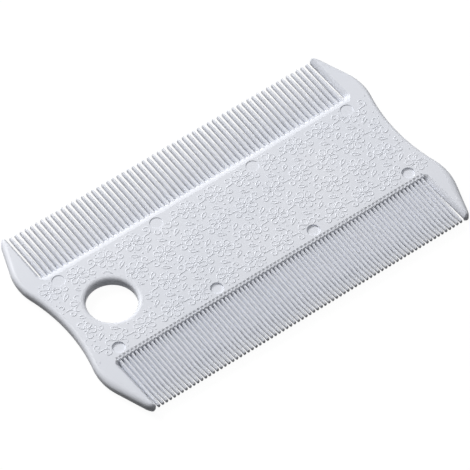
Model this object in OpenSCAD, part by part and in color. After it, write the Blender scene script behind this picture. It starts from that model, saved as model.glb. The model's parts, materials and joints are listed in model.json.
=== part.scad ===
// Double-sided flea comb, one plastic moulding.
// Lies on its back: X runs along the comb, +Y towards the coarse teeth, +Z out of the front face.
// The origin is in the middle of the back face.

/* [Body] */
// Overall length, from shoulder to shoulder
comb_l = 100; // [92:1:112]
// Overall width, from the coarse guard tips to the fine guard tips
comb_w = 59.2; // [55:0.1:66]
// Thickness of the grip panel and of the four guards
comb_t = 3.2; // [2.8:0.1:4.2]

// Radius along the outer edges of both faces
edge_r = 0.4; // [0.1:0.05:0.45]

/* [Finger hollows] */
// Depth of the finger hollow in each end
hollow_d = 2.2; // [1:0.1:4]
// Distance of each shoulder from the middle line
shoulder_y = 16; // [13:0.5:18]
// Radius of each shoulder
shoulder_r = 14; // [10:0.5:16]

/* [Guards] */
// Width of each guard, measured from its shoulder to the edge towards the teeth
guard_w = 5.6; // [4:0.1:6.5]
// Width of the bevel that thins a guard towards the teeth, on both faces
guard_bevel_w = 1.05; // [0.4:0.05:1.5]
// Thickness left at the edge towards the teeth
guard_edge_t = 0.4; // [0.2:0.05:1.2]
// Radius on which a guard's outer edge curls in to its tip
tip_r = 3.9; // [3.2:0.1:5]
// How far into the bay the curl has its centre
tip_lead = 1.45; // [1:0.05:2]
// Radius of the small corner between the tip and the bay
tip_corner_r = 0.7; // [0.5:0.05:0.9]

/* [Hanging hole] */
// Diameter of the hanging hole
hole_d = 12.2; // [8:0.1:14]
// Distance of the hole from the middle of the comb
hole_x = 35.4; // [28:0.1:37]
// Radius of the rounded lip on both faces of the hole
hole_lip_r = 0.7; // [0.2:0.05:1.2]

/* [Ejector marks] */
// Diameter of the round marks that the mould's pins leave on the front face
mark_d = 3.2; // [2:0.1:3.6]
// Depth of the marks
mark_depth = 0.2; // [0.1:0.05:0.4]
// Distance between neighbouring marks along the comb
mark_pitch = 28; // [20:0.5:29]
// Distance of each line of marks from the middle line
mark_y = 11.8; // [9:0.1:11.8]

/* [Coarse teeth] */
// Number of coarse teeth
coarse_count = 60; // [40:1:64]
// Distance of the coarse root line from the middle line
coarse_root_y = 14.8; // [14.8:0.1:17]
// Width of a coarse tooth along its crest
coarse_crest_w = 0.42; // [0.3:0.02:0.6]
// Width of a coarse tooth at half its thickness
coarse_waist_w = 1; // [0.8:0.02:1.1]
// Thickness of a coarse tooth at its root
coarse_root_t = 2.2; // [1.8:0.1:2.6]
// Thickness of a coarse tooth at its tip
coarse_tip_t = 1; // [0.7:0.1:1.5]
// Gap between each guard and the nearest coarse tooth
coarse_end_gap = 0.9; // [0.5:0.05:1.4]

/* [Fine teeth] */
// Number of fine teeth
fine_count = 80; // [50:1:84]
// Distance of the fine root line from the middle line
fine_root_y = 14.7; // [14.6:0.1:16]
// Width of a fine tooth along its crest
fine_crest_w = 0.36; // [0.26:0.02:0.5]
// Width of a fine tooth at half its thickness
fine_waist_w = 0.76; // [0.6:0.02:0.86]
// Thickness of a fine tooth at its root
fine_root_t = 2.2; // [1.8:0.1:2.6]
// Thickness of a fine tooth at its tip
fine_tip_t = 1; // [0.7:0.1:1.5]
// Gap between each guard and the nearest fine tooth
fine_end_gap = 0.5; // [0.4:0.05:1.2]
// How far the fine slots run back into their root rail
fine_slot_run = 0.65; // [0:0.05:0.9]

/* [Tooth form] */
// How much narrower a tooth is at its tip than at its root
tooth_narrowing = 0.12; // [0:0.02:0.2]
// Bevel along both edges of a crest
crest_bevel = 0.1; // [0.04:0.02:0.12]
// Width of the rounded step from the panel down to the coarse teeth
coarse_step_w = 1.3; // [1:0.1:2]
// Width of the rounded step from the panel down to the fine teeth
fine_step_w = 1.1; // [1:0.1:2]

/* [Hidden] */
$fn = 96;

plastic = [0.87, 0.88, 0.9];
half_l = comb_l / 2;
bay_x = half_l - guard_w; // the teeth fill a bay from -bay_x to bay_x
half_w = comb_w / 2;
half_t = comb_t / 2;
cut = 1; // how far a cutting shape runs past what it cuts
bite = 0.02; // how far each cut along the outline bites into the one before it, to cross it cleanly
hollow_overrun = 2; // how many degrees the hollow's cut runs on past each end
waste_reach = shoulder_r; // how far the waste outside the outline reaches

// Where the panel ends and the rails and guards begin
coarse_edge_y = coarse_root_y - coarse_step_w;
fine_edge_y = fine_root_y - fine_step_w;

// Centres of the arcs that make one end of the outline
shoulder_c = [half_l - shoulder_r, shoulder_y];
hollow_r = (pow(shoulder_y, 2) + pow(hollow_d, 2)) / (2 * hollow_d) - shoulder_r;
hollow_c = [half_l - hollow_d + hollow_r, 0];
corner_c = [bay_x + tip_corner_r, half_w - tip_corner_r];
curl_x = bay_x - tip_lead;
curl_c = [curl_x, corner_c.y - sqrt(pow(tip_r - tip_corner_r, 2) - pow(corner_c.x - curl_x, 2))];

// Directions in which those arcs meet, and the guard's straight edge between two of them
function direction(v) = atan2(v.y, v.x);
hollow_turn = direction(hollow_c - shoulder_c);
centre_gap = curl_c - shoulder_c;
edge_turn = direction(centre_gap) - acos((shoulder_r - tip_r) / norm(centre_gap));
edge_normal = [cos(edge_turn), sin(edge_turn)];
edge_start = shoulder_c + shoulder_r * edge_normal;
edge_end = curl_c + tip_r * edge_normal;

function arc_points(centre, r, from, to, steps) =
    [for (i = [0 : steps]) centre + r * [cos(from + (to - from) * i / steps),
                                         sin(from + (to - from) * i / steps)]];

// Section of what is cut away outside an edge: the wall is at x = 0, with both rims rounded.
// Each rim ends a bite below its face, at a slight angle to it.
module rim_section(rim_r, reach) {
    difference() {
        translate([-rim_r, -cut]) square([rim_r + reach, comb_t + 2 * cut]);
        translate([-rim_r - cut, rim_r - bite])
            square([rim_r + cut, comb_t - 2 * rim_r + 2 * bite]);
        for (z = [rim_r - bite, comb_t - rim_r + bite])
            translate([-rim_r, z]) circle(rim_r);
    }
}

// What lies outside an arc of the outline, from one direction to another, seen from its centre
module outside_arc(centre, r, from, to) {
    translate(centre) rotate([0, 0, from]) rotate_extrude(angle = to - from)
        translate([r, 0]) rim_section(edge_r, waste_reach);
}

module outside_shoulder() {
    outside_arc(shoulder_c, shoulder_r, hollow_turn, edge_turn);
}

// What lies outside the straight edge of a guard
module outside_edge() {
    run = norm(edge_end - edge_start) + 2 * cut;
    translate(edge_start) rotate([0, 0, edge_turn]) translate([-bite, run - cut, 0])
        rotate([90, 0, 0]) linear_extrude(run) rim_section(edge_r, waste_reach);
}

// The finger hollow, and a little way on past the arcs of both shoulders
module inside_hollow() {
    sweep = 2 * (hollow_overrun - hollow_turn);
    translate(hollow_c) rotate([0, 0, 180 - sweep / 2]) rotate_extrude(angle = sweep)
        intersection() {
            translate([hollow_r + bite, 0]) mirror([1, 0]) rim_section(edge_r, hollow_r);
            translate([0, -cut]) square([hollow_r + cut, comb_t + 2 * cut]);
        }
}

// The hanging hole with its rounded lips
module inside_hole() {
    translate([-hole_x, 0, 0]) rotate_extrude() intersection() {
        translate([hole_d / 2, 0]) mirror([1, 0]) rim_section(hole_lip_r, hole_d);
        translate([0, -cut]) square([hole_d, comb_t + 2 * cut]);
    }
}

// The half of the panel towards +X: the shoulders are cut first, then the hollow between them
module half_panel() {
    difference() {
        difference() {
            difference() {
                translate([0, -fine_edge_y, 0])
                    cube([half_l, fine_edge_y + coarse_edge_y, comb_t]);
                outside_shoulder();
            }
            mirror([0, 1, 0]) outside_shoulder();
        }
        inside_hollow();
    }
}

module grip_panel() {
    color(plastic) difference() {
        union() {
            half_panel();
            mirror([1, 0, 0]) half_panel();
        }
        inside_hole();
        for (column = [-1.5 : 1.5], side = [1, -1])
            translate([column * mark_pitch, side * mark_y, comb_t - mark_depth])
                cylinder(d = mark_d, h = mark_depth + cut);
    }
}

// A guard before its outer edge is cut, with the small corner at its tip already rounded
module guard_blank(edge_y) {
    linear_extrude(comb_t) difference() {
        translate([bay_x, edge_y]) square([half_l - bay_x, half_w - edge_y]);
        difference() {
            translate([bay_x - cut, corner_c.y]) square([tip_corner_r + cut, 2 * cut]);
            translate(corner_c) circle(tip_corner_r);
        }
    }
}

// What the bevel towards the teeth takes off one face of a guard
module bevel_waste(root_y) {
    land = [bay_x, half_t + guard_edge_t / 2];
    slope = [guard_bevel_w, half_t - guard_edge_t / 2];
    run = half_w - root_y + cut;
    translate([0, root_y + run, 0]) rotate([90, 0, 0]) linear_extrude(run)
        polygon([land - slope, land + 2 * slope, [land.x - slope.x, land.y + 2 * slope.y]]);
}

// One guard, at the +X end of the +Y side: the straight edge is cut first, then the arcs at its ends
module guard(edge_y, root_y) {
    difference() {
        difference() {
            difference() {
                guard_blank(edge_y);
                outside_edge();
            }
            outside_shoulder();
        }
        outside_arc(curl_c, tip_r, edge_turn, 90);
        bevel_waste(root_y);
        translate([0, 0, comb_t]) mirror([0, 0, 1]) bevel_waste(root_y);
    }
}

// Half section of a rail: a rounded step down from the panel to the root of the teeth
function step_points(edge_y, step_w, root_t) =
    [for (turn = [0 : 22.5 : 90]) [edge_y + step_w * sin(turn),
                                   root_t / 2 + (half_t - root_t / 2) * cos(turn)]];

// A rail, on the +Y side
module rail(edge_y, step_w, root_t) {
    top = step_points(edge_y, step_w, root_t);
    bottom = [for (i = [len(top) - 1 : -1 : 0]) [top[i].x, -top[i].y]];
    translate([-bay_x, 0, half_t]) rotate([90, 0, 90]) linear_extrude(2 * bay_x)
        polygon(concat(top, bottom));
}

// Half of a tooth's section, as the mould draws it: crest, bevels and flank down to the waist,
// and straight on past the waist, where the other half takes over
function half_section(crest_w, waist_w, root_t) =
    [[-waist_w / 2, -root_t], [waist_w / 2, -root_t], [waist_w / 2, 0],
     [crest_w / 2, root_t / 2 - crest_bevel], [crest_w / 2 - crest_bevel, root_t / 2],
     [crest_bevel - crest_w / 2, root_t / 2], [-crest_w / 2, root_t / 2 - crest_bevel],
     [-waist_w / 2, 0]];

// Plan or side view of a tooth with a rounded nose
function nosed(length, half, nose_r) =
    concat([[0, -half], [0, half], [length - nose_r, half]],
           arc_points([length - nose_r, 0], nose_r, 90, -90, 4), [[length - nose_r, -half]]);

// One tooth: its root is at the origin, it runs along +Y, and z = 0 is at half its thickness
module tooth(length, crest_w, waist_w, root_t, tip_t) {
    lean = atan((root_t - tip_t) / 2 / length);
    swing = atan(tooth_narrowing / 2 / length);
    intersection_for(face = [0, 1], flank = [1, -1])
        mirror([0, 0, face]) rotate([-lean, 0, 0]) rotate([0, 0, flank * swing])
            translate([0, length + cut, 0]) rotate([90, 0, 0]) linear_extrude(length + 2 * cut)
                polygon(half_section(crest_w, waist_w, root_t));
}

module finished_tooth(length, crest_w, waist_w, root_t, tip_t) {
    plan_r = (waist_w - tooth_narrowing) / 2;
    side_r = tip_t * 0.55;
    intersection() {
        tooth(length, crest_w, waist_w, root_t, tip_t);
        translate([0, 0, -root_t]) linear_extrude(2 * root_t)
            mirror([1, -1]) polygon(nosed(length, waist_w, plan_r));
        translate([-waist_w, 0, 0]) rotate([90, 0, 90]) linear_extrude(2 * waist_w)
            polygon(nosed(length, root_t, side_r));
    }
}

// The places of a row's teeth along the comb
function tooth_places(count, crest_w, end_gap) =
    let (first = bay_x - end_gap - crest_w / 2)
    [for (i = [0 : count - 1]) -first + 2 * first * i / (count - 1)];

module tooth_row(places, root_y, crest_w, waist_w, root_t, tip_t) {
    for (x = places)
        translate([x, root_y, half_t])
            finished_tooth(half_w - root_y, crest_w, waist_w, root_t, tip_t);
}

coarse_places = tooth_places(coarse_count, coarse_crest_w, coarse_end_gap);
fine_places = tooth_places(fine_count, fine_crest_w, fine_end_gap);

module coarse_teeth() {
    color(plastic)
        tooth_row(coarse_places, coarse_root_y, coarse_crest_w, coarse_waist_w,
                  coarse_root_t, coarse_tip_t);
}

module fine_teeth() {
    color(plastic) mirror([0, 1, 0])
        tooth_row(fine_places, fine_root_y, fine_crest_w, fine_waist_w,
                  fine_root_t, fine_tip_t);
}

module coarse_root_rail() {
    color(plastic) rail(coarse_edge_y, coarse_step_w, coarse_root_t);
}

// The slot between two teeth, with the flanks of both, ready to be cut into a rail
module slot_section(left, right, crest_w, waist_w, root_t) {
    flank = [[crest_w / 2, half_t + cut], [crest_w / 2, root_t / 2], [waist_w / 2, 0],
             [crest_w / 2, -root_t / 2], [crest_w / 2, -half_t - cut]];
    polygon(concat([for (p = flank) [left + p.x, p.y]],
                   [for (i = [len(flank) - 1 : -1 : 0]) [right - flank[i].x, flank[i].y]]));
}

module fine_root_rail() {
    stops = concat([-bay_x - fine_crest_w], fine_places, [bay_x + fine_crest_w]);
    color(plastic) mirror([0, 1, 0]) difference() {
        rail(fine_edge_y, fine_step_w, fine_root_t);
        for (i = [1 : len(stops) - 1])
            translate([0, fine_root_y + cut, half_t]) rotate([90, 0, 0])
                linear_extrude(fine_slot_run + cut)
                    slot_section(stops[i - 1], stops[i], fine_crest_w, fine_waist_w, fine_root_t);
    }
}

module coarse_guard_right() {
    color(plastic) guard(coarse_edge_y, coarse_root_y);
}

module coarse_guard_left() {
    color(plastic) mirror([1, 0, 0]) guard(coarse_edge_y, coarse_root_y);
}

module fine_guard_right() {
    color(plastic) mirror([0, 1, 0]) guard(fine_edge_y, fine_root_y);
}

module fine_guard_left() {
    color(plastic) mirror([1, 0, 0]) mirror([0, 1, 0]) guard(fine_edge_y, fine_root_y);
}

grip_panel();
coarse_root_rail();
fine_root_rail();
coarse_teeth();
fine_teeth();
coarse_guard_left();
coarse_guard_right();
fine_guard_left();
fine_guard_right();
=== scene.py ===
# %% [markdown]
# # A flea comb, dressed around its solids
#
# The comb is one white moulding: a plate with a row of coarse teeth on one long side and a
# row of fine teeth on the other, four guards at the corners, a finger hollow in each short
# end and a hole to hang it by. The solids give the main sizes. This lesson rebuilds each
# region with softer edges, adds the raised ornament on the plate, and lights the comb on a
# pale floor.

import json
import math

import bmesh
import bpy
from mathutils import Matrix, Vector
from mathutils.geometry import tessellate_polygon


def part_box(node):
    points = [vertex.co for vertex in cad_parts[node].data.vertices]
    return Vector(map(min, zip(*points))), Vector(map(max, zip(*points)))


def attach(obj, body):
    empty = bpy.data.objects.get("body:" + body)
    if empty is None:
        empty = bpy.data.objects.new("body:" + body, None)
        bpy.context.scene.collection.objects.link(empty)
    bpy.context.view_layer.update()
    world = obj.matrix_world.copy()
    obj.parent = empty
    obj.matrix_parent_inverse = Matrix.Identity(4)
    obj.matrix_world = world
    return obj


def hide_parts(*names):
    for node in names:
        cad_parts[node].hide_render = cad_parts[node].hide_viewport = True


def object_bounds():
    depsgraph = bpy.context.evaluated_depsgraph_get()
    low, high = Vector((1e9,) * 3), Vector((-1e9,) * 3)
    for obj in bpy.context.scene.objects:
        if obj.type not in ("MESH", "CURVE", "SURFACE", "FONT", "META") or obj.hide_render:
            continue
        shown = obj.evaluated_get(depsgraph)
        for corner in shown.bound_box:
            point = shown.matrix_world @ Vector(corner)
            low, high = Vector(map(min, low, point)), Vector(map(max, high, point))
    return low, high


MM = 0.001

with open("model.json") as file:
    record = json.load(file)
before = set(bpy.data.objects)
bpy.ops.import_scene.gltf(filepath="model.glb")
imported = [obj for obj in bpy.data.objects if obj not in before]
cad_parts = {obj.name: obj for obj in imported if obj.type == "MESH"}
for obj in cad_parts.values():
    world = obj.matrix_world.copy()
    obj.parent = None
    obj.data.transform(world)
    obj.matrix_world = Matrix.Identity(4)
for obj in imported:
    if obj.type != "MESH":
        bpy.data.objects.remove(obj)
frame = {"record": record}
cad_low, cad_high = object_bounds()
print("the solids fill", [round(side / MM, 2) for side in cad_high - cad_low], "mm")

# %% [markdown]
# ## The camera
#
# A small flat thing is usually shown from far away with a long lens, so that its sides stay
# nearly parallel. A short lens close by would make the near teeth look bigger than the far
# ones. The camera comes first, because every later piece is judged through it.

# %% Camera
view_turn = math.radians(36.9)
view_height = math.radians(52.8)
view_distance = 1155 * MM
aim = Vector((-1.55 * MM, -2.1 * MM, cad_high.z))

look = Vector((
    math.sin(view_turn) * math.cos(view_height),
    math.cos(view_turn) * math.cos(view_height),
    -math.sin(view_height),
))
camera_data = bpy.data.cameras.new("studio_camera")
camera_data.lens = 381
camera_data.sensor_width = 36
camera_data.clip_start = 0.05
camera_data.clip_end = 10
camera = bpy.data.objects.new("studio_camera", camera_data)
camera.location = aim - look * view_distance
camera.rotation_euler = look.to_track_quat("-Z", "Y").to_euler()
bpy.context.scene.collection.objects.link(camera)
bpy.context.scene.camera = camera
print("camera stands", round(view_distance, 3), "m from the comb")

# %% [markdown]
# ## Sizes shared by the pieces
#
# The outer sizes come from the solids' boxes, so the looks follow when the solids change.
# The radii of the outline are repeated further down, because a box doesn't hold them.

# %% Sizes from the frame
panel_low, panel_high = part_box("grip_panel")
coarse_rail_low, coarse_rail_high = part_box("coarse_root_rail")
fine_rail_low, fine_rail_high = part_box("fine_root_rail")

edge_swell = 0.2 * MM  # the edge is fuller than the plain solids' edge
half_length = cad_high.x + edge_swell
half_width = cad_high.y + edge_swell
bay_x = coarse_rail_high.x
coarse_root_y = coarse_rail_high.y
fine_root_y = -fine_rail_low.y
coarse_edge_y = panel_high.y
fine_edge_y = -panel_low.y

relief_height = 0.14 * MM
plate_top = cad_high.z - relief_height
half_thickness = plate_top / 2
print("plate is", round(plate_top / MM, 2), "mm thick under its ornament")

# %% [markdown]
# ## The plastic
#
# The comb is white polystyrene from a polished mould: satin, slightly cool, and not quite
# even. A plain white shader would look like paper. Here a fine grain raises the surface a
# little, a slower noise changes the gloss, and a still slower one shifts the tone.

# %% Looks of the plastic
cool_white = (0.765, 0.785, 0.84, 1)
pale_white = (0.795, 0.81, 0.86, 1)
roughness_range = (0.4, 0.52)
specular_level = 0.3
grain_strength = 0.25
grain_rise = 0.02 * MM
noise_cells = {"tone": 60, "gloss": 250, "grain": 2500}  # cells per metre
NOISE_MIDDLE = (0.3, 0.7)  # most of a noise texture's values lie between these
print("the plastic's roughness runs from", roughness_range[0], "to", roughness_range[1])

# %% Comb plastic
def noise_texture(nodes, links, coords, scale, detail, place):
    """A noise texture in object space, with its scale in cells per metre."""
    texture = nodes.new("ShaderNodeTexNoise")
    texture.location = place
    texture.inputs["Scale"].default_value = scale
    texture.inputs["Detail"].default_value = detail
    links.new(coords.outputs["Object"], texture.inputs["Vector"])
    return texture


def mapped(nodes, links, texture, low, high, place):
    """Stretches a texture's middle values to a range of numbers."""
    ramp = nodes.new("ShaderNodeMapRange")
    ramp.location = place
    ramp.inputs["From Min"].default_value = NOISE_MIDDLE[0]
    ramp.inputs["From Max"].default_value = NOISE_MIDDLE[1]
    ramp.inputs["To Min"].default_value = low
    ramp.inputs["To Max"].default_value = high
    links.new(texture.outputs["Fac"], ramp.inputs["Value"])
    return ramp


def make_comb_plastic():
    """Satin white plastic, with a slow change of tone, a faster one of gloss and a fine grain."""
    material = bpy.data.materials.new("comb_plastic_satin")
    material.use_nodes = True
    nodes = material.node_tree.nodes
    links = material.node_tree.links
    shader = nodes["Principled BSDF"]
    shader.inputs["Specular IOR Level"].default_value = specular_level
    coords = nodes.new("ShaderNodeTexCoord")
    coords.location = (-1200, 0)

    tone = noise_texture(nodes, links, coords, noise_cells["tone"], 2, (-950, 300))
    shade = nodes.new("ShaderNodeMix")
    shade.data_type = "RGBA"
    shade.location = (-500, 300)
    shade.inputs["A"].default_value = cool_white
    shade.inputs["B"].default_value = pale_white
    links.new(mapped(nodes, links, tone, 0, 1, (-720, 300)).outputs["Result"],
              shade.inputs["Factor"])
    links.new(shade.outputs["Result"], shader.inputs["Base Color"])

    gloss = noise_texture(nodes, links, coords, noise_cells["gloss"], 3, (-950, 0))
    links.new(mapped(nodes, links, gloss, *roughness_range, (-720, 0)).outputs["Result"],
              shader.inputs["Roughness"])

    grain = noise_texture(nodes, links, coords, noise_cells["grain"], 2, (-950, -300))
    bump = nodes.new("ShaderNodeBump")
    bump.location = (-500, -300)
    bump.inputs["Strength"].default_value = grain_strength
    bump.inputs["Distance"].default_value = grain_rise
    links.new(grain.outputs["Fac"], bump.inputs["Height"])
    links.new(bump.outputs["Normal"], shader.inputs["Normal"])
    return material


comb_plastic = make_comb_plastic()
print("made", comb_plastic.name)

# %% [markdown]
# ## From mesh to piece
#
# Every piece of the comb is finished in the same way: its rounded faces are shaded smooth
# except where they meet at a sharp angle, its level faces are shaded flat, it takes the
# plastic, it moves with the body, and the solids it names are hidden. A large level face
# that is shaded smooth borrows the tilt of the small rims around it and shows streaks.

# %% Finishing a piece
SHARP_ANGLE = math.radians(38)
LEVEL = 0.99999  # the upward share of a normal from which a face counts as level


def finish_piece(name, work, *solids):
    """Turns a bmesh into an object that rides on the comb, and hides the named solids."""
    mesh = bpy.data.meshes.new(name)
    bmesh.ops.recalc_face_normals(work, faces=work.faces)
    work.to_mesh(mesh)
    work.free()
    mesh.shade_smooth()
    mesh.set_sharp_from_angle(angle=SHARP_ANGLE)
    for face in mesh.polygons:
        if abs(face.normal.z) > LEVEL:
            face.use_smooth = False
    mesh.materials.append(comb_plastic)
    piece = bpy.data.objects.new(name, mesh)
    bpy.context.scene.collection.objects.link(piece)
    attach(piece, "root")
    if solids:
        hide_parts(*solids)
    print(name, "has", len(mesh.polygons), "faces")


# %% [markdown]
# ## The outline
#
# Seen from above, the moulding's edge is a chain of arcs and straight lines that run into
# each other: a finger hollow, a shoulder, the guard's long edge, the curl of its tip, the
# wall towards the teeth, and the root line. A traced curve would need many loose points.
# Arcs with true centres need a few radii and can't wobble. Each sample also carries the
# way out of the plastic and how its rim is shaped, so that one list drives the whole skin.
# A rim is four numbers: its width, its drop, how straight it is, from 0 for a quarter of an
# ellipse to 1 for a plain bevel, and how many times as wide it runs on the underside.

# %% Arcs and straight lines
STEP = 0.45 * MM
ARC_STEPS = 8  # the fewest steps along an arc
LINE_STEPS = 2  # and along a line


def arc(centre, radius, start, end, rims, hollow=False):
    """Samples along an arc, in degrees: a point, the way out, and the rim there."""
    turn = math.radians(end - start)
    steps = max(ARC_STEPS, math.ceil(abs(turn) * radius / STEP))
    samples = []
    for step in range(steps + 1):
        part = step / steps
        angle = math.radians(start) + turn * part
        ray = Vector((math.cos(angle), math.sin(angle)))
        rim = Vector(rims[0]).lerp(Vector(rims[1]), part)
        samples.append((centre + ray * radius, -ray if hollow else ray, rim))
    return samples


def line(start, end, out, rims):
    """Samples along a straight stretch, both ends included."""
    steps = max(LINE_STEPS, math.ceil((end - start).length / STEP))
    samples = []
    for step in range(steps + 1):
        part = step / steps
        rim = Vector(rims[0]).lerp(Vector(rims[1]), part)
        samples.append((start.lerp(end, part), Vector(out), rim))
    return samples


def degrees_of(vector):
    """The direction of a flat vector, in degrees."""
    return math.degrees(math.atan2(vector.y, vector.x))


# %% Radii of the outline
hollow_depth = 2.2 * MM
shoulder_y = 16 * MM
shoulder_radius = 14 * MM
tip_radius = 3.9 * MM
tip_lead = 1.45 * MM
tip_corner_radius = 0.7 * MM
bay_fillet = 0.7 * MM

hollow_radius = (shoulder_y**2 + hollow_depth**2) / (2 * hollow_depth) - shoulder_radius
hollow_x = half_length - hollow_depth + hollow_radius
print("the finger hollows have a radius of", round(hollow_radius / MM, 1), "mm")

# %% Rims of the outline
# Each is a width, a drop, a straightness and the number of times as wide underneath.
hollow_rim = (1.05 * MM, 1.2 * MM, 0, 1.3)
coarse_guard_rim = (1.2 * MM, 1.2 * MM, 0, 1.25)
fine_guard_rim = (1.9 * MM, 1.2 * MM, 0, 0.8)
curl_rim = (1.3 * MM, 1.15 * MM, 0, 0.9)
tip_rim = (0.8 * MM, 1.0 * MM, 0.1, 1.3)
bay_tip_rim = (0.75 * MM, 1.2 * MM, 0.7, 1)
bay_rim = (1.05 * MM, 1.33 * MM, 0.8, 1)
coarse_web = 0.7 * MM  # the floor of a coarse slot slopes up to the step
rim_gap = 0.02 * MM  # keeps the coarse rim clear of the plane where the step is sawn off
coarse_root_rim = (coarse_root_y + coarse_web - coarse_edge_y - rim_gap, 1.3 * MM, 0.25, 1)
fine_root_rim = (0.5 * MM, 0.5 * MM, 0, 1)
print("the coarse step falls over", round(coarse_root_rim[0] / MM, 2), "mm")


# %% A quarter of the outline
def quarter_outline(root_y, root_rim, guard_rim, tip_x):
    """The edge of the corner at +X, +Y: from the middle of the hollow to the middle of a row."""
    shoulder = Vector((half_length - shoulder_radius, shoulder_y))
    hollow = Vector((hollow_x, 0))
    meet = degrees_of(hollow - shoulder)

    corner = Vector((tip_x + tip_corner_radius, half_width - tip_corner_radius))
    curl_x = bay_x - tip_lead
    rise = math.sqrt((tip_radius - tip_corner_radius) ** 2 - (corner.x - curl_x) ** 2)
    curl = Vector((curl_x, corner.y - rise))
    gap = curl - shoulder
    lean = degrees_of(gap) - math.degrees(math.acos((shoulder_radius - tip_radius) / gap.length))
    lean_ray = Vector((math.cos(math.radians(lean)), math.sin(math.radians(lean))))
    corner_turn = degrees_of(corner - curl)

    fillet = Vector((bay_x - bay_fillet, root_y + bay_fillet))
    return [
        arc(hollow, hollow_radius, 180, 180 + meet, (hollow_rim, hollow_rim), hollow=True),
        arc(shoulder, shoulder_radius, meet, lean, (hollow_rim, guard_rim)),
        line(shoulder + lean_ray * shoulder_radius, curl + lean_ray * tip_radius, lean_ray,
             (guard_rim, curl_rim)),
        arc(curl, tip_radius, lean, corner_turn, (curl_rim, tip_rim)),
        arc(corner, tip_corner_radius, corner_turn, 180, (tip_rim, bay_tip_rim)),
        line(Vector((tip_x, corner.y)), Vector((bay_x, fillet.y)), (-1, 0),
             (bay_tip_rim, bay_rim)),
        arc(fillet, bay_fillet, 0, -90, (bay_rim, root_rim), hollow=True),
        line(Vector((fillet.x, root_y)), Vector((0, root_y)), (0, 1), (root_rim, root_rim)),
    ]


# %% The whole outline
def chained(stretches):
    """Joins stretches end to end, without the doubled samples where they meet."""
    samples = list(stretches[0])
    for stretch in stretches[1:]:
        samples += stretch[1:]
    return samples


def flipped(samples, x, y):
    """The same samples mirrored, where x or y is -1."""
    return [(Vector((p.x * x, p.y * y)), Vector((n.x * x, n.y * y)), rim)
            for p, n, rim in samples]


splay = 0.4 * MM  # the fine row's right guard leans away from the last tooth
coarse_quarter = chained(quarter_outline(coarse_root_y + coarse_web, coarse_root_rim,
                                         coarse_guard_rim, bay_x))
fine_quarter = chained(quarter_outline(fine_root_y, fine_root_rim, fine_guard_rim, bay_x))
leaning_quarter = chained(quarter_outline(fine_root_y, fine_root_rim, fine_guard_rim,
                                          bay_x + splay))
outline = (
    coarse_quarter[:-1]
    + flipped(coarse_quarter, -1, 1)[:0:-1]
    + flipped(fine_quarter, -1, -1)[:-1]
    + flipped(leaning_quarter, 1, -1)[:0:-1]
)
print("the outline has", len(outline), "samples")

# %% [markdown]
# ## The skin of the plate
#
# A plate with rounded rims could be made with a Bevel modifier, but the rims here change
# along the edge: full and round on the finger hollows, wide and soft along the fine row's
# guards, narrower along the coarse row's, almost a plain bevel towards the teeth, and a long
# step at the root lines. So the skin is laid in rings. Each ring repeats the outline, moved in
# by part of the rim's width and down by part of its drop.

# %% Rings of the rim
RIM_STEPS = 8
LOWER_DROP = 1.1  # the rim reaches further round below than above


def rim_place(rim, step):
    """How far in and how far down a ring runs, for one step over a rim."""
    share = step / RIM_STEPS
    angle = math.radians(90) * share
    inward = (1 - math.sin(angle)) * (1 - rim.z) + (1 - share) * rim.z
    down = (1 - math.cos(angle)) * (1 - rim.z) + share * rim.z
    return rim.x * inward, rim.y * down


def ring(work, samples, step, top):
    """One ring of the skin, on the top rim or on the bottom rim."""
    verts = []
    for point, out, rim in samples:
        inward, down = rim_place(rim, step)
        place = point - out * inward * (1 if top else rim.w)
        height = plate_top - down if top else down * LOWER_DROP
        verts.append(work.verts.new((place.x, place.y, height)))
    return verts


def ring_pair(samples, work):
    """Rings from the top face, over the rim, down the wall and under the bottom rim."""
    steps = range(RIM_STEPS + 1)
    return ([ring(work, samples, step, True) for step in steps]
            + [ring(work, samples, step, False) for step in reversed(steps)])


def bridge(work, upper, lower):
    """A closed band of four-cornered faces between two rings."""
    count = len(upper)
    for i in range(count):
        j = (i + 1) % count
        work.faces.new((upper[i], upper[j], lower[j], lower[i]))


def fill_between(work, *loops):
    """Fills a flat face with holes: the first loop is its border."""
    corners = [vert for loop in loops for vert in loop]
    for triangle in tessellate_polygon([[vert.co for vert in loop] for loop in loops]):
        work.faces.new([corners[i] for i in triangle])


# %% [markdown]
# ## Hanging hole and ejector marks
#
# The hole has generous rounded lips. The eight small sunk discs are left by the pins that
# push the comb out of its mould. Both are rings too, so they join the same flat face.

# %% Sizes of the round details
mount = frame["record"]["mounts"][0]
hole_centre = Vector((mount["pos_m"][0], mount["pos_m"][1]))
hole_radius = mount["dims"]["r_mm"] * MM
hole_lip = (1.1 * MM, 0.8 * MM, 0, 1)
HOLE_POINTS = 128

mark_radius = 1.6 * MM
mark_depths = {1: 0.16 * MM, -1: 0.42 * MM}  # the deeper ones stand by the fine row
mark_edge = 0.05 * MM
mark_pitch = 28 * MM
mark_y = 11.8 * MM
mark_centres = [Vector((column * mark_pitch, side * mark_y))
                for column in (-1.5, -0.5, 0.5, 1.5) for side in (-1, 1)]
MARK_POINTS = 32
print("the hole is", round(2 * hole_radius / MM, 2), "mm across, with", len(mark_centres), "marks")


# %% Holes and marks as rings
def circle(work, centre, radius, z, count):
    """A level ring of evenly spaced points."""
    angles = [2 * math.pi * i / count for i in range(count)]
    return [work.verts.new((centre.x + radius * math.cos(a), centre.y + radius * math.sin(a), z))
            for a in angles]


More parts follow.
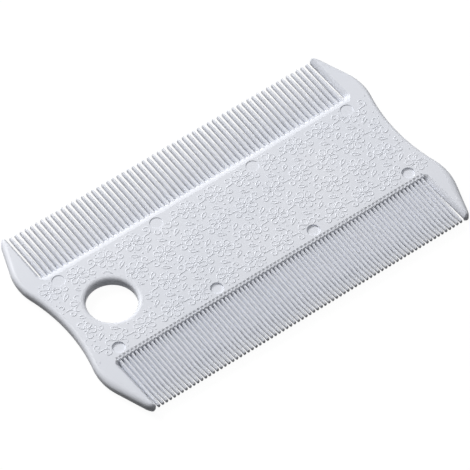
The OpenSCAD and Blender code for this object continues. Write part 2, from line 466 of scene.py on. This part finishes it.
def add_mark(work, centre):
    """Lays one sunk disc and gives back the loop that borders it on the plate's face."""
    third = mark_edge / 3
    border = circle(work, centre, mark_radius + mark_edge, plate_top, MARK_POINTS)
    lip = circle(work, centre, mark_radius + third, plate_top - third, MARK_POINTS)
    wall = circle(work, centre, mark_radius, plate_top - mark_edge, MARK_POINTS)
    depth = mark_depths[1 if centre.y > 0 else -1]
    floor = circle(work, centre, mark_radius, plate_top - depth, MARK_POINTS)
    bridge(work, border, lip)
    bridge(work, lip, wall)
    bridge(work, wall, floor)
    work.faces.new(floor)
    return border


def hole_samples():
    """The hole's edge in the same form as the outline: points, ways out and rims."""
    samples = []
    for i in range(HOLE_POINTS):
        angle = 2 * math.pi * i / HOLE_POINTS
        ray = Vector((math.cos(angle), math.sin(angle)))
        samples.append((hole_centre + ray * hole_radius, -ray, Vector(hole_lip)))
    return samples


# %% The whole skin
def make_skin():
    """The whole moulding without its teeth, as one closed skin."""
    work = bmesh.new()
    rings = ring_pair(outline, work)
    for upper, lower in zip(rings, rings[1:]):
        bridge(work, upper, lower)

    hole_rings = ring_pair(hole_samples(), work)
    for upper, lower in zip(hole_rings, hole_rings[1:]):
        bridge(work, upper, lower)

    marks = [add_mark(work, centre) for centre in mark_centres]
    fill_between(work, rings[0], hole_rings[0], *marks)
    fill_between(work, rings[-1], hole_rings[-1])
    return work


# %% [markdown]
# ## Sawing the skin into its regions
#
# The solids divide the moulding into a grip panel, two root rails and four guards. The skin
# is made whole, so that its curves run on without a break, and is then cut with the same
# planes. Each cut is closed with a flat face, so every region is a solid of its own.

# %% Cutting at a plane
def keep_side(work, point, normal):
    """Cuts away what lies beyond a plane, in the direction of its normal, and closes the cut."""
    geometry = work.verts[:] + work.edges[:] + work.faces[:]
    cut = bmesh.ops.bisect_plane(work, geom=geometry, dist=1e-7, plane_co=point,
                                 plane_no=normal, clear_outer=True)
    rim = [item for item in cut["geom_cut"] if isinstance(item, bmesh.types.BMEdge)]
    bmesh.ops.holes_fill(work, edges=[edge for edge in rim if edge.is_boundary], sides=0)


def make_region(name, cuts, solid):
    """Saws one region out of a fresh skin."""
    work = make_skin()
    for point, normal in cuts:
        keep_side(work, point, normal)
    finish_piece(name, work, solid)


def cut_y(y, way):
    """A saw cut along the comb that clears what lies on the given side of it."""
    return ((0, y, 0), (0, way, 0))


def cut_x(x, way):
    """A saw cut across the comb."""
    return ((x, 0, 0), (way, 0, 0))


# %% Grip panel, rails and guards
saw_x = bay_x - 0.01 * MM  # just clear of the guards' walls, which stand at bay_x

make_region("plate", [cut_y(coarse_edge_y, 1), cut_y(-fine_edge_y, -1)], "grip_panel")
make_region("coarse_step", [cut_y(coarse_edge_y, -1), cut_x(saw_x, 1), cut_x(-saw_x, -1)],
            "coarse_root_rail")
for side, way in (("left", -1), ("right", 1)):
    make_region("coarse_end_guard_" + side, [cut_y(coarse_edge_y, -1), cut_x(saw_x * way, -way)],
                "coarse_guard_" + side)
    make_region("fine_end_guard_" + side, [cut_y(-fine_edge_y, 1), cut_x(saw_x * way, -way)],
                "fine_guard_" + side)

# %% [markdown]
# ## The raised ornament
#
# The plate carries a low ornament, pressed into it by the mould: fine raised lines that also
# keep wet fingers from slipping. It could be a bump in the material, but then it would have
# no edge in a side view and would be lost when the mesh is used elsewhere. Here every line is
# a real ridge, a rounded section drawn along a path. The pattern is a traditional one:
# six-petalled flowers in staggered rows, with scrolls, leaves and dots in the gaps.

# %% Where ornament may stand
ridge_height = 0.1 * MM
ridge_sunk = 0.04 * MM
ridge_half = 0.22 * MM
end_margin = 1.5 * MM
row_margin = 0.55 * MM
round_margin = 0.35 * MM
SHORTEST_RUN = 8  # a stretch of a path with no more points than this is left out
print("the ornament's lines are", round(2 * ridge_half / MM, 2), "mm wide")


def in_field(point):
    """True where the plate is free for ornament."""
    if not -fine_edge_y + row_margin < point.y < coarse_edge_y - row_margin:
        return False
    if abs(point.x) > hollow_x - math.sqrt(hollow_radius**2 - point.y**2) - end_margin:
        return False
    if (point - hole_centre).length < hole_radius + hole_lip[0] + round_margin:
        return False
    return all((point - mark).length > mark_radius + round_margin for mark in mark_centres)


def free_runs(points, closed):
    """Splits a path into the stretches that lie in the field."""
    if all(in_field(point) for point in points):
        return [(points, closed)]
    if closed:
        start = next(i for i, point in enumerate(points) if not in_field(point))
        points = points[start:] + points[:start]
    runs = [[]]
    for point in points:
        if in_field(point):
            runs[-1].append(point)
        elif runs[-1]:
            runs.append([])
    return [(run, False) for run in runs if len(run) > SHORTEST_RUN]


# %% Ridges
RIDGE_SECTION = ((-0.5, 0.7), (0, 1), (0.5, 0.7))  # shares of the half width and of the height
END_SIZE = 0.35  # an open ridge starts at this share of its size
END_GROWTH = 0.4  # and gains this share with each point


def ridge(work, points, closed):
    """Draws a rounded ridge along a path, and lets the ends of an open one run out."""
    count = len(points)
    loops = []
    for i, point in enumerate(points):
        before = points[i - 1] if closed or i > 0 else point
        after = points[(i + 1) % count] if closed or i < count - 1 else point
        side = Vector((before.y - after.y, after.x - before.x)).normalized()
        size = 1 if closed else min(1, END_SIZE + END_GROWTH * min(i, count - 1 - i))
        crown = [(across, ridge_height * size * up) for across, up in RIDGE_SECTION]
        loops.append([
            work.verts.new((*(point + side * across * ridge_half * size), plate_top + up))
            for across, up in [(-1, -ridge_sunk), *crown, (1, -ridge_sunk)]
        ])
    for upper, lower in zip(loops, loops[1:]):
        bridge(work, upper, lower)
    if closed:
        bridge(work, loops[-1], loops[0])
    else:
        work.faces.new(loops[0])
        work.faces.new(loops[-1])


def draw(work, points, closed=False):
    """Draws a path as ridges, wherever it lies in the field."""
    for run, whole in free_runs(points, closed):
        ridge(work, run, whole)


# %% Domes
DOME_POINTS = 10
DOME_WAIST = (0.75, 0.65)  # shares of the radius and of the height
DOME_CROWN = (0.3, 1)


def dome(work, centre, radius):
    """A small round stud."""
    if not in_field(centre):
        return
    foot = circle(work, centre, radius, plate_top - ridge_sunk, DOME_POINTS)
    waist, crown = [
        circle(work, centre, radius * reach, plate_top + ridge_height * up, DOME_POINTS)
        for reach, up in (DOME_WAIST, DOME_CROWN)
    ]
    bridge(work, foot, waist)
    bridge(work, waist, crown)
    work.faces.new(crown)
    work.faces.new(foot)


# %% Paths of petals and scrolls
PETAL_POINTS = 16
petal_swell = 0.35  # how much fuller a petal is towards its outer end

SCROLL_POINTS = 22
scroll_curl = Vector((0.55 * MM, 1.3 * MM))  # from the scroll's middle to the heart of one curl
scroll_turn = math.radians(430)
scroll_shrink = 0.27 / 1.41  # the curl's radius at its end, as a share of that at its start


def petal(centre, turn, inner, outer, half):
    """A closed drop shape that points away from the centre."""
    points = []
    for i in range(PETAL_POINTS):
        angle = 2 * math.pi * i / PETAL_POINTS
        along = (inner + outer) / 2 + (outer - inner) / 2 * math.cos(angle)
        across = half * math.sin(angle) * (1 + petal_swell * math.cos(angle))
        points.append(centre + Matrix.Rotation(turn, 2) @ Vector((along, across)))
    return points


def scroll(centre, mirror):
    """An S that curls up at both ends."""
    start = math.atan2(-scroll_curl.y, -scroll_curl.x)
    half = []
    for i in range(SCROLL_POINTS):
        share = i / (SCROLL_POINTS - 1)
        reach = scroll_curl.length * scroll_shrink**share
        angle = start + scroll_turn * share
        half.append(scroll_curl + Vector((math.cos(angle), math.sin(angle))) * reach)
    whole = [-point for point in reversed(half[1:])] + half
    return [centre + Vector((point.x * mirror, point.y)) for point in whole]


# %% Sizes of the motifs
flower_pitch = 7.9 * MM
flower_rows = 6.9 * MM
flower_shift = 0.25  # a row is shifted by this share of a pitch, the next one the other way
ROWS = range(-2, 2)
COLUMNS = range(-7, 8)

PETALS = 6
petal_sizes = (0.62 * MM, 2.5 * MM, 0.62 * MM)  # inner end, outer end and half width
heart_radius = 0.36 * MM
bead_radius = 0.2 * MM
bead_reach = 2.75 * MM

leaf_sizes = (-0.95 * MM, 0.95 * MM, 0.36 * MM)  # the same three
leaf_lean = 58  # degrees to either side
bud_radius = 0.28 * MM
bud_up = 3.25 * MM
dot_radius = 0.18 * MM
dot_out = 1.15 * MM
dot_up = 2.75 * MM
print("flowers stand every", round(flower_pitch / MM, 1), "mm")


# %% Flowers, scrolls and leaves
def flower(work, centre):
    """Petals round a heart, with a bead between each two."""
    dome(work, centre, heart_radius)
    spread = math.radians(360 / PETALS)
    for i in range(PETALS):
        turn = spread * (i + 0.5)
        draw(work, petal(centre, turn, *petal_sizes), closed=True)
        between = Matrix.Rotation(turn + spread / 2, 2) @ Vector((bead_reach, 0))
        dome(work, centre + between, bead_radius)


def gap_filling(work, centre, middle, mirror):
    """A scroll between two flowers, with a bud above it, leaves and dots."""
    draw(work, scroll(middle, mirror))
    dome(work, middle + Vector((0, bud_up)), bud_radius)
    for side in (-1, 1):
        leaf = centre + Vector((side * flower_pitch / 4, flower_rows / 2))
        lean = math.radians(90 + side * leaf_lean)
        draw(work, petal(leaf, lean, *leaf_sizes), closed=True)
        dome(work, middle + Vector((side * dot_out, dot_up)), dot_radius)
        dome(work, middle + Vector((side * dot_out, -dot_up)), dot_radius)


def make_ornament():
    """Fills the plate with staggered rows of flowers and what stands between them."""
    work = bmesh.new()
    for row in ROWS:
        way = 1 if row % 2 else -1
        for column in COLUMNS:
            centre = Vector(((column + way * flower_shift) * flower_pitch,
                             (row + 0.5) * flower_rows))
            flower(work, centre)
            gap_filling(work, centre, centre + Vector((flower_pitch / 2, 0)), way)
    finish_piece("raised_ornament", work)


make_ornament()

# %% [markdown]
# ## The teeth
#
# A mould opens along the comb's thickness, so a tooth is widest at its middle and narrows
# towards both faces. It also gets thinner and narrower from root to tip, and its end is
# blunt. A box with a Bevel modifier would have even sides. Here each tooth is a loft: one
# rounded section is repeated at stations along the tooth, and each station has its own size.
# A coarse tooth is wide at the root, where its crest rises in a short fillet, and tapers
# evenly. A fine tooth is pinched at the root, fills out over the next millimetre or two until
# it almost touches its neighbour, and narrows again close to the tip.

# %% Tooth section
FLANK = ((0.35, 0.12), (0.65, 0.36), (0.88, 0.68))  # shares of the run-out and of the height


def tooth_section(crest, waist, thickness):
    """One quarter's points, from the crest's edge round to the waist, mirrored to a whole."""
    top = thickness / 2
    run_out = (waist - crest) / 2
    quarter = [(crest / 2, top)]
    quarter += [(crest / 2 + out * run_out, top * (1 - down)) for out, down in FLANK]
    quarter += [(waist / 2, 0)]
    right = quarter + [(x, -z) for x, z in quarter[-2::-1]]
    return right + [(-x, z) for x, z in right[::-1]]


# %% Stations along a tooth
ROOT_STATIONS = (0, 0.3 * MM, 0.7 * MM, 1.3 * MM)  # close together, where the root changes fast
BODY_START = 2.2 * MM
BODY_STEPS = 6
NOSE_STEPS = 4


def stations(length, form):
    """Places along a tooth, from inside the rail to the tip, with how far its end has closed."""
    nose = length - form["nose"]
    body = [(-form["root_run"], 1)] + [(place, 1) for place in ROOT_STATIONS]
    body += [(BODY_START + (nose - BODY_START) * i / BODY_STEPS, 1)
             for i in range(BODY_STEPS + 1)]
    closing = []
    for step in range(1, NOSE_STEPS + 1):
        angle = math.radians(90) * step / NOSE_STEPS
        reach = nose + form["nose"] * math.sin(angle)
        closing.append((reach, 1 - form["blunt"] * (1 - math.cos(angle))))
    return body + closing


print("a tooth has", len(ROOT_STATIONS) + BODY_STEPS + NOSE_STEPS + 2, "stations")


# %% One tooth
def add_tooth(work, x, root_y, way, form):
    """Lofts one tooth that runs from root_y towards +Y or -Y."""
    loops = []
    length = half_width - form["short"] - root_y
    for place, open_share in stations(length, form):
        part = max(place, 0) / length
        crest, waist = form["root_widths"].lerp(form["tip_widths"], part**form["narrowing"])
        waist -= form["pinch"] * math.exp(-max(place, 0) / form["pinch_run"])
        rise = form["fillet"] * math.exp(-max(place, 0) / form["fillet_run"])
        thickness = form["root_t"] + (form["tip_t"] - form["root_t"]) * part + rise
        section = tooth_section(crest * open_share, waist * open_share, thickness * open_share)
        loops.append([work.verts.new((x + dx, way * (root_y + place), half_thickness + dz))
                      for dx, dz in section])
    for upper, lower in zip(loops, loops[1:]):
        bridge(work, upper, lower)
    work.faces.new(loops[0])
    work.faces.new(loops[-1])


# %% Forms of the two kinds of teeth
# The widths are those of the crest and the waist. The higher the narrowing, the closer to
# the tip it happens. The solid waist is that of the plain solids' teeth.
coarse_form = {
    "root_widths": Vector((0.4, 1.28)) * MM, "tip_widths": Vector((0.14, 0.7)) * MM,
    "narrowing": 1, "root_t": 2.1 * MM, "tip_t": 1.3 * MM, "nose": 0.3 * MM, "blunt": 0.7,
    "root_run": 0.3 * MM, "fillet": 0.3 * MM, "fillet_run": 0.8 * MM,
    "pinch": 0, "pinch_run": 1 * MM, "short": 0.35 * MM, "solid_waist": 1.0 * MM,
}
fine_form = {
    "root_widths": Vector((0.34, 1.05)) * MM, "tip_widths": Vector((0.17, 0.71)) * MM,
    "narrowing": 4, "root_t": 2.45 * MM, "tip_t": 1.1 * MM, "nose": 0.35 * MM, "blunt": 0.5,
    "root_run": 0.3 * MM, "fillet": 0, "fillet_run": 1 * MM,
    "pinch": 0.25 * MM, "pinch_run": 1.2 * MM, "short": 0, "solid_waist": 0.76 * MM,
}


def tooth_places(solid, form):
    """Where a row's teeth stand along the comb, from the solids' box and their number."""
    count = frame["record"]["physics"]["collision_pieces"][solid]
    low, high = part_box(solid)
    first = high.x - form["solid_waist"] / 2
    return [-first + 2 * first * i / (count - 1) for i in range(count)]


coarse_places = tooth_places("coarse_teeth", coarse_form)
fine_places = tooth_places("fine_teeth", fine_form)
print("coarse pitch", round((coarse_places[1] - coarse_places[0]) / MM, 3), "mm")
print("fine pitch", round((fine_places[1] - fine_places[0]) / MM, 3), "mm")


# %% Two rows of teeth
def make_row(name, solid, places, root_y, way, form):
    """One row as one piece, in which every tooth is closed in itself."""
    work = bmesh.new()
    for x in places:
        add_tooth(work, x, root_y, way, form)
    finish_piece(name, work, solid)


make_row("coarse_row", "coarse_teeth", coarse_places, coarse_root_y, 1, coarse_form)
make_row("fine_row", "fine_teeth", fine_places, fine_root_y, -1, fine_form)

# %% [markdown]
# ## The fine step with its lands
#
# Along the fine row the slots run a little way back into the edge of the plate as shallow
# grooves, and leave a line of small lands, one behind each tooth. Cutting eighty grooves
# with a Boolean modifier is slow and leaves slivers. Here the whole rail is one loft along
# the comb: its section is repeated every fraction of a pitch, and the height of its top
# follows a smooth wave that dips between the teeth.

# %% Section of the fine step
LAND_STEPS = 12  # sections to a pitch
STEP_ROWS = (0, 0.1, 0.2, 0.3, 0.4, 0.5, 0.62, 0.72, 0.82, 0.9, 0.96, 1)  # plate to root

step_fall = 0.35 * MM
step_drop = 0.36 * MM
groove_depth = 0.3 * MM
groove_start = 0.1 * MM
groove_run = 0.45 * MM
groove_fullness = 0.7  # below 1 the grooves are wider than the lands
fine_pitch = fine_places[1] - fine_places[0]
print("the grooves are", round(groove_depth / MM, 2), "mm deep")


def step_height(y):
    """The top of the fine step above the comb's middle, for a distance from the middle line."""
    past = (y - (fine_root_y - step_fall)) / step_fall
    if past <= 0:
        return half_thickness
    return half_thickness - step_drop * (1 - math.sqrt(max(0, 1 - past**2)))


def groove(x, y):
    """How deep the grooves are at a place of the step."""
    phase = (x - fine_places[0]) / fine_pitch
    dip = (0.5 - 0.5 * math.cos(2 * math.pi * phase)) ** groove_fullness
    fade = min(1, max(0, (y - fine_edge_y - groove_start) / groove_run))
    return groove_depth * dip * fade * fade * (3 - 2 * fade)


def step_loop(work, x, rows):
    """The rail's section at one place along the comb, round its top, root and bottom."""
    heights = [(y, step_height(y) - groove(x, y)) for y in rows]
    upper = [work.verts.new((x, -y, half_thickness + z)) for y, z in heights]
    lower = [work.verts.new((x, -y, half_thickness - z)) for y, z in reversed(heights)]
    return upper + lower


# %% Fine step
def make_fine_step():
    """Lofts the rail along the comb, from one guard's wall to the other."""
    work = bmesh.new()
    rows = [fine_edge_y + (fine_root_y - fine_edge_y) * share for share in STEP_ROWS]
    count = round(2 * saw_x / fine_pitch * LAND_STEPS)
    loops = [step_loop(work, -saw_x + 2 * saw_x * i / count, rows) for i in range(count + 1)]
    for upper, lower in zip(loops, loops[1:]):
        bridge(work, upper, lower)
    work.faces.new(loops[0])
    work.faces.new(loops[-1])
    finish_piece("fine_step", work, "fine_root_rail")


make_fine_step()

# %% [markdown]
# ## Floor and light
#
# The comb lies on a plain floor that the camera sees as white. White paint would do it, but
# it would throw light up under the rims and wash their dark undersides out. Here the paint
# is dark, so that little comes back from it, and the floor glows only for the rays that the
# camera, a reflection or clear plastic sends to it. Its shadow stays, though faint. Two lamps
# behind the coarse row model the ridges, one stands overhead, and a dim pale room fills the
# rest. The room, too, looks white from the camera.

# %% Floor
FLOOR_SIZE = 3.0
FLOOR_DROP = 0.02 * MM  # keeps the floor out of the comb's back face
floor_paint = (0.08, 0.08, 0.08, 1)
floor_glow = 0.95


def seen_rays(nodes, links):
    """1 for rays from the camera, a reflection or clear plastic, and 0 for all others."""
    path = nodes.new("ShaderNodeLightPath")
    seen = path.outputs["Is Camera Ray"]
    for kind in ("Is Glossy Ray", "Is Transmission Ray"):
        either = nodes.new("ShaderNodeMath")
        either.operation = "MAXIMUM"
        links.new(seen, either.inputs[0])
        links.new(path.outputs[kind], either.inputs[1])
        seen = either.outputs[0]
    return seen


def make_floor_material():
    """Dark paint that takes the comb's shadow, and a glow for the rays that see the floor."""
    material = bpy.data.materials.new("pale_floor")
    material.use_nodes = True
    nodes = material.node_tree.nodes
    links = material.node_tree.links
    nodes.clear()
    output = nodes.new("ShaderNodeOutputMaterial")
    matte = nodes.new("ShaderNodeBsdfDiffuse")
    matte.inputs["Color"].default_value = floor_paint
    lift = nodes.new("ShaderNodeEmission")
    strength = nodes.new("ShaderNodeMath")
    strength.operation = "MULTIPLY"
    strength.inputs[1].default_value = floor_glow
    links.new(seen_rays(nodes, links), strength.inputs[0])
    links.new(strength.outputs[0], lift.inputs["Strength"])
    add = nodes.new("ShaderNodeAddShader")
    links.new(matte.outputs[0], add.inputs[0])
    links.new(lift.outputs[0], add.inputs[1])
    links.new(add.outputs[0], output.inputs["Surface"])
    return material


bpy.ops.mesh.primitive_plane_add(size=FLOOR_SIZE, location=(0, 0, -FLOOR_DROP))
floor = bpy.context.object
floor.name = "floor"
floor.data.materials.append(make_floor_material())
print("floor is", FLOOR_SIZE, "m wide")

# %% Lamps
LAMP_DISTANCE = 1.0
LAMP_SIZE = 0.5


def add_lamp(name, direction, power):
    """An area lamp that stands in a direction from the comb and faces it."""
    lamp_data = bpy.data.lights.new(name, "AREA")
    lamp_data.size = LAMP_SIZE
    lamp_data.energy = power
    lamp = bpy.data.objects.new(name, lamp_data)
    ray = Vector(direction).normalized()
    lamp.location = ray * LAMP_DISTANCE
    lamp.rotation_euler = (-ray).to_track_quat("-Z", "Y").to_euler()
    bpy.context.scene.collection.objects.link(lamp)
    print(name, "gives", power, "W")


add_lamp("key_lamp", (-0.1, 1, 0.75), 7.6)
add_lamp("left_lamp", (-0.35, 1, 0.9), 2.8)
add_lamp("top_lamp", (0, 0, 1), 2.1)

# %% World
room_tint = (0.95, 0.97, 1, 1)
room_light = 0.08


def make_pale_room():
    """A world that lights the comb dimly and that the camera sees as white."""
    world = bpy.data.worlds.new("pale_room")
    world.use_nodes = True
    nodes = world.node_tree.nodes
    links = world.node_tree.links
    background = nodes["Background"]
    background.inputs["Color"].default_value = room_tint
    strength = nodes.new("ShaderNodeMath")
    strength.operation = "ADD"
    strength.inputs[1].default_value = room_light
    links.new(seen_rays(nodes, links), strength.inputs[0])
    links.new(strength.outputs[0], background.inputs["Strength"])
    return world


bpy.context.scene.world = make_pale_room()
bpy.context.scene.view_settings.view_transform = "Standard"
print("the world is", bpy.context.scene.world.name)
